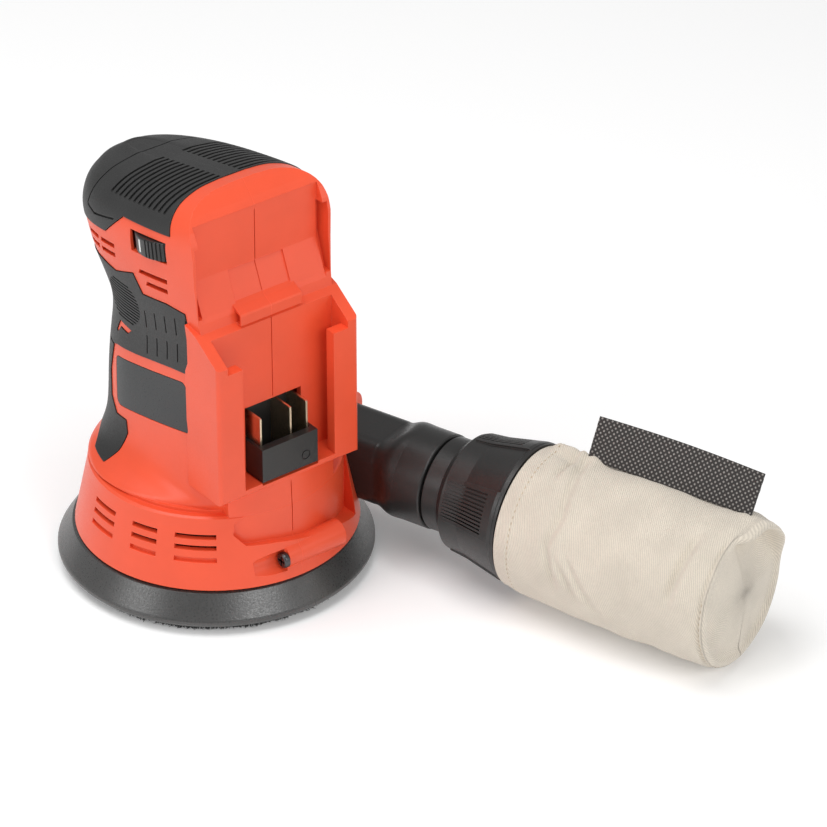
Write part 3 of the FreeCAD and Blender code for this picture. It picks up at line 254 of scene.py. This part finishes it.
def hooks(name, colour):
    """Hook mat: a dense bristle of short nylon hooks."""
    material, tree, shader = new_material(name)
    where = object_place(tree)
    tufts = add(tree, "ShaderNodeTexVoronoi", {"Vector": where, "Scale": 1 / 0.0011})
    base = mixed(tree, spread(tree, tufts.outputs["Distance"], 1, 0, 0.1, 0.6), shade(colour, 0.4),
                 shade(colour, 1.6))
    tree.links.new(base, shader.inputs["Base Color"])
    shader.inputs["Roughness"].default_value = 0.8
    shader.inputs["Sheen Weight"].default_value = 0.3
    bumped(tree, shader, tufts.outputs["Distance"], 0.0004, 1.0)
    return material


# ---------------------------------------------------------------- materials

RED = (0.80, 0.085, 0.030)
GRIP = (0.024, 0.024, 0.024)
BLACK = (0.017, 0.0165, 0.016)
COTTON = (0.77, 0.695, 0.585)


def make_materials():
    return {
        "housing_plastic": moulded("housing_plastic", RED, 0.38, 0.0005, 0.000022, variation=0.03,
                                   edge=1.25),
        "grip_rubber": moulded("grip_rubber", GRIP, 0.50, 0.0006, 0.00009, 0.00025, 0.10, 2.4, 0.4),
        "label_plate": moulded("label_plate", (0.024, 0.026, 0.027), 0.34, 0.0006, 0.000004, 0.0002,
                               0.02, 1.5, 0.35),
        "black_plastic": moulded("black_plastic", BLACK, 0.36, 0.0006, 0.00004, 0.0003, 0.08, 2.2),
        "contact_metal": machined("contact_metal", (0.80, 0.66, 0.48), 0.28),
        "circuit_board": moulded("circuit_board", (0.015, 0.15, 0.06), 0.35, 0.002, 0.00001),
        "lead_jacket": moulded("lead_jacket", (0.45, 0.02, 0.02), 0.45, 0.0008, 0.00001),
        "bearing_steel": machined("bearing_steel", (0.62, 0.62, 0.62), 0.25),
        "motor_steel": machined("motor_steel", (0.45, 0.46, 0.47), 0.38),
        "magnet": machined("magnet", (0.08, 0.08, 0.09), 0.55, 0.4),
        "carbon": machined("carbon", (0.05, 0.05, 0.05), 0.6, 0.2),
        "copper": machined("copper", (0.75, 0.33, 0.16), 0.32),
        "cast_alloy": machined("cast_alloy", (0.62, 0.62, 0.63), 0.45, grain=0.0009),
        "weight_steel": machined("weight_steel", (0.34, 0.34, 0.35), 0.45),
        "pad_nylon": moulded("pad_nylon", (0.03, 0.03, 0.032), 0.45, 0.0006, 0.00002),
        "screw_steel": machined("screw_steel", (0.10, 0.10, 0.105), 0.35),
        "pad_foam": moulded("pad_foam", (0.040, 0.040, 0.039), 0.33, 0.0007, 0.00011, 0.0004, 0.16,
                            1.6, 0.9),
        "hook_felt": hooks("hook_felt", (0.05, 0.05, 0.052)),
        "brake_rubber": moulded("brake_rubber", (0.03, 0.03, 0.03), 0.6, 0.0005, 0.00003),
        "bag_cotton": cotton("bag_cotton", COTTON),
        "strip_felt": embossed("strip_felt", (0.024, 0.021, 0.020), (0.34, 0.32, 0.30), 0.00155),
    }


def paint_frame(materials):
    """Every carried-over CAD node gets the material of its slot."""
    slots = {row["node"]: row["material_slot"] for row in frame["record"]["subparts"]}
    for name, piece in frame["nodes"].items():
        piece.data.materials.clear()
        piece.data.materials.append(materials[slots[name]])


# ---------------------------------------------------------------- mesh helpers

def outlet_point(station, turn, radius, drop=0.0):
    """A point by its station, its angle from straight up towards +X, and its radius, in mm."""
    place = OUTLET_START + OUTLET_DIR * (station * MM)
    place += (UPWARD * math.cos(turn) + OUTWARD * math.sin(turn)) * (radius * MM)
    return place - UPWARD * (drop * MM)


def mesh_piece(name, points, faces, material, body, uvs=None, smooth=True):
    mesh = bpy.data.meshes.new(name)
    mesh.from_pydata([tuple(p) for p in points], [], faces)
    if uvs is not None:
        layer = mesh.uv_layers.new(name="cloth")
        for loop in mesh.loops:
            layer.data[loop.index].uv = uvs[loop.vertex_index]
    mesh.materials.append(material)
    for polygon in mesh.polygons:
        polygon.use_smooth = smooth
    mesh.validate()
    piece = bpy.data.objects.new(name, mesh)
    bpy.context.scene.collection.objects.link(piece)
    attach(piece, body)
    return piece


def ring_faces(rows, columns, first=0):
    """Quads that join `rows` closed rings of `columns` points."""
    faces = []
    for i in range(rows - 1):
        for j in range(columns):
            a = first + i * columns + j
            b = first + i * columns + (j + 1) % columns
            faces.append((a, a + columns, b + columns, b))
    return faces


def smooth_step(value, low, high):
    share = min(max((value - low) / (high - low), 0.0), 1.0)
    return share * share * (3 - 2 * share)


def bump_at(value, middle, width):
    return math.exp(-((value - middle) / width) ** 2)


def wrap(turn):
    return (turn + math.pi) % (2 * math.pi) - math.pi


# ---------------------------------------------------------------- dust bag

def crease(station, turn, path, depth, width, swell=0.6):
    """A fold across the cloth: a groove along a path of (degrees, station) with a swell beside it."""
    outer, inner = 14, 8              # degrees past and within its ends over which a fold fades out
    degrees = math.degrees(wrap(turn))
    low, high = path[0][0], path[-1][0]
    if not low - outer < degrees < high + outer:
        return 0.0
    middle = np.interp(degrees, [p[0] for p in path], [p[1] for p in path])
    fade = smooth_step(degrees, low - outer, low + inner)
    fade *= 1 - smooth_step(degrees, high - inner, high + outer)
    groove = -depth * bump_at(station, middle, width)
    ridge = swell * depth * bump_at(station, middle + 2.1 * width, 1.5 * width)
    return fade * (groove + ridge)


# each fold: its path of (degrees from straight up towards +X, station), its depth and its width
FOLDS = (
    (((-96, 130.5), (-70, 125.8), (-48, 128.6), (-12, 124.8), (18, 121.5)), 1.4, 1.6),
    (((-104, 141.0), (-88, 135.4), (-76, 130.6)), 1.0, 1.5),
    (((-110, 150.0), (-92, 143.0), (-74, 135.5)), 0.8, 1.7),
    (((-14, 117.4), (4, 118.2), (16, 117.2)), 1.5, 1.2),
    (((-74, 180.6), (-56, 181.8), (-30, 183.4)), 2.2, 1.9),
    (((-24, 161.0), (-6, 159.0)), 0.6, 2.4),
    (((-140, 194.0), (-80, 194.2), (-22, 194.6)), 0.9, 0.6),
    (((40, 118.0), (75, 123.0), (120, 119.0)), 0.9, 1.8),
    (((60, 176.0), (95, 181.0), (130, 178.0)), 0.9, 2.0),
    (((135, 126.0), (175, 122.0)), 0.8, 1.8),
)


def bag_radius(station, turn):
    """How far the cloth stands from the outlet's axis, with its hem, folds and seams."""
    t = wrap(turn)
    radius = 27.9 + 1.7 * smooth_step(station, 102, 113) + 0.9 * smooth_step(station, 112, 150)
    radius += 0.5 * (1 - smooth_step(station, HEM_END - 0.5, HEM_END + 0.6))
    radius -= 0.4 * bump_at(station, HEM_END - 0.9, 0.5)
    for path, depth, width in FOLDS:
        radius += crease(station, t, path, depth, width)
    # the closing seam stands up as a ridge between the hem and the strip, and again at the end
    seam = wrap(t - SEAM_TURN)
    rise = smooth_step(station, 103, 109) * (1 - smooth_step(station, 120, 133))
    radius += 2.5 * rise * bump_at(seam, 0, 0.10)
    radius += 1.0 * smooth_step(station, 186, 193) * bump_at(seam, 0, 0.16)
    # a dent on either side of it, where the seam pulls the hem together
    for side in (-0.21, 0.19):
        radius -= 0.8 * bump_at(seam, side - 0.012 * (station - 117), 0.06) * bump_at(station, 117, 7.0)
    radius -= 0.35 * bump_at(seam, 0, 0.05) * smooth_step(station, 124, 134)
    # slack cloth: it hangs a little flat on top and full below
    radius += 0.5 * -math.cos(t) * smooth_step(station, 107, 132)
    place = Vector((station * 0.055, math.cos(t) * 1.3, math.sin(t) * 1.3))
    radius += 0.8 * noise.noise(place) * smooth_step(station, 106, 118)
    fine = Vector((station * 0.16, math.cos(t) * 3.2, math.sin(t) * 3.2))
    return radius + 0.26 * noise.noise(fine) * smooth_step(station, 109, 114)


def end_trim(station):
    """How much the cloth narrows towards the end panel."""
    return END_TRIM * smooth_step(station, BAG_END - 5, BAG_END + 1.5)


def bag_rows():
    """Stations of the cloth's rings, closer together where the hem and end seam are."""
    rows = list(np.linspace(BAG_START, 113, 30)) + list(np.linspace(113.6, 189, 100))
    return rows + list(np.linspace(189.5, BAG_END, 14))


def end_lip(turn):
    """How far the end seam's folded edge stands out along the axis: a fold near the top."""
    t = wrap(turn)
    flap = smooth_step(t, -0.32, -0.04) * (1 - smooth_step(t, 0.9, 1.7))
    return 0.9 + 0.3 * math.sin(3 * t + 0.5) + 4.6 * flap


def dust_bag(material):
    columns = 220
    rows = bag_rows()
    turns = [math.pi + 2 * math.pi * j / columns for j in range(columns)]
    points = []
    uvs = []

    def ring(station_of, radius_of, along):
        for turn in turns:
            points.append(outlet_point(station_of(turn), turn, radius_of(turn), BAG_DROP))
            uvs.append((turn * CLOTH_RADIUS * MM, along * MM))

    def rim(turn):
        return bag_radius(BAG_END, turn) - END_TRIM

    def panel_station(turn, share):
        """The round end panel: it swells towards its middle and follows the folded edge round it."""
        swell = 1.8 * (1 - (share / 0.8) ** 2)
        place = Vector((3 * share * math.cos(turn), 3 * share * math.sin(turn), 4.0))
        return BAG_END + swell - 0.5 * end_lip(turn) * share / 0.8 + 0.35 * noise.noise(place)

    # the mouth is turned in behind the collar
    mouth = (0.02, 12.0, 22.0, 26.4, 27.2)
    for radius in mouth:
        ring(lambda t: BAG_START + 0.05, lambda t, r=radius: r, BAG_START - 28 + radius)
    for station in rows:
        ring(lambda t, s=station: s, lambda t, s=station: bag_radius(s, t) - end_trim(s), station)
    # the end: a folded edge, as (share of the lip, step out from the rim), then a round panel
    edge = ((0.35, -0.1), (0.75, -0.7), (1.0, -1.6), (0.95, -2.3), (0.5, -2.8), (-0.1, -3.5),
            (-0.5, -4.6))
    for out, inward in edge:
        ring(lambda t, o=out: BAG_END + end_lip(t) * o, lambda t, i=inward: rim(t) + i,
             BAG_END + 3 - inward)
    panel = (0.80, 0.72, 0.62, 0.5, 0.38, 0.26, 0.14, 0.05, 0.001)
    for share in panel:
        ring(lambda t, s=share: panel_station(t, s), lambda t, s=share: rim(t) * s,
             BAG_END + 30 * (1 - share))
    faces = ring_faces(len(mouth) + len(rows) + len(edge) + len(panel), columns)
    piece = mesh_piece("cotton_bag", points, faces, material, "dust_bag", uvs)
    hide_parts("dust_bag")


def capsule(centre, along, normal, length, radius, points, faces):
    """A short rounded thread lying along a surface."""
    side = along.cross(normal).normalized()
    steps = ((-0.5, 0.25), (-0.36, 0.85), (0.0, 1.0), (0.36, 0.85), (0.5, 0.25))
    around = 6
    first = len(points)
    for place, width in steps:
        for k in range(around):
            turn = 2 * math.pi * k / around
            offset = (side * math.cos(turn) + normal * math.sin(turn)) * radius * width
            sink = normal * (-abs(place) * radius * 2.2)
            points.append(centre + along * (place * length) + offset + sink)
    for i in range(len(steps) - 1):
        for j in range(around):
            a = first + i * around + j
            b = first + i * around + (j + 1) % around
            faces.append((a, b, b + around, a + around))
    last = first + (len(steps) - 1) * around
    faces.append(tuple(first + k for k in reversed(range(around))))
    faces.append(tuple(last + k for k in range(around)))


def bag_stitches(material):
    """Running stitches round the hem, and along the lower part of the end seam."""
    thread_radius = 0.00024
    points = []
    faces = []
    hem = (HEM_END - 0.9, 74, 1.75, 0.0, 2 * math.pi)
    end_seam = (BAG_END - 1.0, 70, 1.7, 2.4, 5.1)
    for station, count, length, first_turn, last_turn in (hem, end_seam):
        for k in range(count):
            turn = 2 * math.pi * k / count
            if not first_turn <= turn < last_turn:
                continue
            radius = bag_radius(station, turn) - end_trim(station) + 0.05
            centre = outlet_point(station, turn, radius, BAG_DROP)
            normal = UPWARD * math.cos(turn) + OUTWARD * math.sin(turn)
            along = (OUTWARD * math.cos(turn) - UPWARD * math.sin(turn)).normalized()
            along = (along + OUTLET_DIR * 0.05 * math.sin(7 * k)).normalized()
            capsule(centre, along, normal, length * MM, thread_radius, points, faces)
    piece = mesh_piece("bag_stitches", points, faces, material, "dust_bag")


def closing_strip(material):
    """The stiff embossed strip along the bag's closing seam."""
    long_steps, high_steps = 90, 22
    rows = []
    for side in (1, -1):
        for i in range(long_steps + 1):
            for j in range(high_steps + 1):
                rows.append((side, i / long_steps, j / high_steps))
    points = []
    uvs = []
    for side, share, height in rows:
        station = STRIP_START + STRIP_LENGTH * share
        ragged = 0.18 * noise.noise(Vector((height * 9, share * 3, 7))) if share in (0, 1) else 0
        wave = 0.30 * math.sin(1.3 * share * math.pi + 0.6) * height
        lean = STRIP_LEAN + 0.03 * height * math.sin(3.1 * share + 0.4)
        station += ragged + 0.9 * height * (share - 0.5)
        foot = outlet_point(station, SEAM_TURN, STRIP_FOOT, BAG_DROP)
        up = UPWARD * math.cos(lean) + OUTWARD * math.sin(lean)
        across = OUTWARD * math.cos(lean) - UPWARD * math.sin(lean)
        rise = (STRIP_HEIGHT + 0.8 * math.sin(math.pi * share)) * height
        points.append(foot + up * (rise * MM) + across * ((side * STRIP_HALF + wave) * MM))
        uvs.append((STRIP_LENGTH * share * MM, STRIP_HEIGHT * height * MM))
    columns = high_steps + 1
    sheet = (long_steps + 1) * columns
    faces = []
    for i in range(long_steps):
        for j in range(high_steps):
            a = i * columns + j
            faces.append((a, a + 1, a + columns + 1, a + columns))
            b = sheet + a
            faces.append((b, b + columns, b + columns + 1, b + 1))
    for i in range(long_steps):
        for j in (0, high_steps):
            a = i * columns + j
            quad = (a, a + columns, a + columns + sheet, a + sheet)
            faces.append(quad if j == 0 else quad[::-1])
    for j in range(high_steps):
        for i in (0, long_steps):
            a = i * columns + j
            quad = (a, a + sheet, a + sheet + 1, a + 1)
            faces.append(quad if i == 0 else quad[::-1])
    piece = mesh_piece("closing_strip", points, faces, material, "dust_bag", uvs)
    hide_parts("bag_strip")


# ---------------------------------------------------------------- hook fringe

def hook_fringe(material):
    """Loose hooks and fibres that poke out all round the edge of the hook mat."""
    rng = np.random.default_rng(7)
    points = []
    faces = []
    for k in range(FRINGE_HAIRS):
        turn = 2 * math.pi * (k + rng.uniform(-0.5, 0.5)) / FRINGE_HAIRS
        tuft = 0.5 + 0.5 * noise.noise(Vector((9 * math.cos(turn), 9 * math.sin(turn), 0)))
        outward = Vector((math.cos(turn), math.sin(turn), 0))
        around = Vector((-math.sin(turn), math.cos(turn), 0))
        root = PAD_CENTRE + outward * (HOOK_RADIUS - 0.0003) + UPWARD * rng.uniform(0.0002, 0.0011)
        reach = rng.uniform(0.0010, 0.0026) + 0.0034 * max(0.0, tuft - 0.42)
        bend = root + outward * reach * 0.7 + around * rng.uniform(-0.0007, 0.0007)
        bend.z = max(0.0003, root.z - rng.uniform(0.0, 0.0006))
        tip = bend + outward * reach * rng.uniform(-0.1, 0.5) + around * rng.uniform(-0.001, 0.001)
        tip.z = max(0.0001, bend.z + rng.uniform(-0.0004, 0.0003))
        width = rng.uniform(0.00014, 0.00026)
        first = len(points)
        for place, share in ((root, 1.0), (bend, 0.9)):
            for side in (around, -around, UPWARD * 1.4):
                points.append(place + side * width * share)
        points.append(tip)
        a, b, end = first, first + 3, first + 6
        faces.append((a + 2, a + 1, a))
        for j in range(3):
            n = (j + 1) % 3
            faces.append((a + j, a + n, b + n, b + j))
            faces.append((b + j, b + n, end))
    piece = mesh_piece("hook_fringe", points, faces, material, "pad", smooth=False)


# ---------------------------------------------------------------- dial figures

def dial_figures():
    """The figures 1 to 5 moulded on the dial's smooth lands, bent round its rim."""
    material, tree, shader = new_material("dial_paint")
    grain = noise_field(tree, object_place(tree), 0.0004)
    tree.links.new(mixed(tree, grain, (0.75, 0.75, 0.73, 1), (0.9, 0.9, 0.88, 1)),
                   shader.inputs["Base Color"])
    shader.inputs["Roughness"].default_value = 0.5
    axis = Vector((0, math.sin(DIAL_TILT), math.cos(DIAL_TILT)))
    level = Vector((0, math.cos(DIAL_TILT), -math.sin(DIAL_TILT)))
    for k in range(FIGURES):
        curve = bpy.data.curves.new("figure", "FONT")
        curve.body = str(k + 1)
        curve.size = FIGURE_SIZE
        curve.offset = 0.00018
        curve.align_x = "CENTER"
        curve.align_y = "CENTER"
        curve.extrude = 0.00006
        curve.resolution_u = 3
        text = bpy.data.objects.new("figure", curve)
        bpy.context.scene.collection.objects.link(text)
        solved = text.evaluated_get(bpy.context.evaluated_depsgraph_get())
        flat = bpy.data.meshes.new_from_object(solved)
        bpy.data.objects.remove(text)
        points = []
        for vertex in flat.vertices:
            turn = FIRST_FIGURE + math.radians(360 / FIGURES) * k + vertex.co.x / DIAL_RADIUS
            reach = DIAL_RADIUS + FIGURE_STANDS + vertex.co.z
            around = Vector((1, 0, 0)) * math.cos(turn) + level * math.sin(turn)
            points.append(DIAL_CENTRE + around * reach + axis * vertex.co.y)
        faces = [tuple(p.vertices) for p in flat.polygons]
        piece = mesh_piece(f"dial_figure_{k + 1}", points, faces, material, "dial", smooth=False)


# ---------------------------------------------------------------- stage

def floor():
    material, tree, shader = new_material("floor")
    cloud = noise_field(tree, object_place(tree), 0.4)
    tree.links.new(mixed(tree, cloud, (0.93, 0.93, 0.93, 1), (0.95, 0.95, 0.95, 1)),
                   shader.inputs["Base Color"])
    shader.inputs["Roughness"].default_value = 0.9
    shader.inputs["Specular IOR Level"].default_value = 0.1
    shader.inputs["Emission Color"].default_value = (1, 1, 1, 1)
    shader.inputs["Emission Strength"].default_value = 0.10
    reach = 6.0
    mesh = bpy.data.meshes.new("floor")
    corners = [(-reach, -reach, 0), (reach, -reach, 0), (reach, reach, 0), (-reach, reach, 0)]
    mesh.from_pydata(corners, [], [(0, 1, 2, 3)])
    mesh.materials.append(material)
    piece = bpy.data.objects.new("floor", mesh)
    bpy.context.scene.collection.objects.link(piece)


def area_light(name, place, aim, size, power):
    light = bpy.data.lights.new(name, "AREA")
    light.shape = "RECTANGLE"
    light.size, light.size_y = size
    light.energy = power
    lamp = bpy.data.objects.new(name, light)
    lamp.location = place
    lamp.rotation_euler = (Vector(aim) - Vector(place)).to_track_quat("-Z", "Y").to_euler()
    bpy.context.scene.collection.objects.link(lamp)


def studio():
    world = bpy.data.worlds.new("studio")
    world.use_nodes = True
    world.node_tree.nodes["Background"].inputs["Color"].default_value = (1, 1, 1, 1)
    world.node_tree.nodes["Background"].inputs["Strength"].default_value = 0.40
    bpy.context.scene.world = world
    middle = (0.03, -0.03, 0.08)
    area_light("top_box", (-0.25, 0.05, 1.3), middle, (0.9, 0.9), 9.5)
    area_light("left_box", (-1.3, 0.1, 0.8), middle, (0.6, 0.8), 5.2)
    area_light("front_box", (-0.08, -1.35, 0.92), middle, (0.8, 0.4), 6.6)
    area_light("fill_box", (1.05, -1.25, 0.45), middle, (0.6, 0.5), 2.6)


def camera():
    """38 degrees to the left of the battery seat and 32 degrees up."""
    azimuth, elevation = math.radians(-38), math.radians(32)
    distance = 1.8145
    target = Vector((0.0975, 0, 0.0248))
    back = Vector((math.sin(azimuth) * math.cos(elevation), -math.cos(azimuth) * math.cos(elevation),
                   math.sin(elevation)))
    lens = bpy.data.cameras.new("camera")
    lens.lens = 195.9
    lens.sensor_width = 36
    lens.clip_start = 0.05
    lens.clip_end = 30
    eye = bpy.data.objects.new("camera", lens)
    eye.location = target + back * distance
    eye.rotation_euler = (-back).to_track_quat("-Z", "Y").to_euler()
    bpy.context.scene.collection.objects.link(eye)
    bpy.context.scene.camera = eye


bpy.context.scene.view_settings.view_transform = "Standard"
materials = make_materials()
paint_frame(materials)
dust_bag(materials["bag_cotton"])
thread = moulded("thread", (0.50, 0.40, 0.28), 0.8, 0.0003, 0.00004, 0.00005, 0.1, 1.0, 0.2)
bag_stitches(thread)
closing_strip(materials["strip_felt"])
hook_fringe(materials["hook_felt"])
dial_figures()
floor()
studio()
camera()
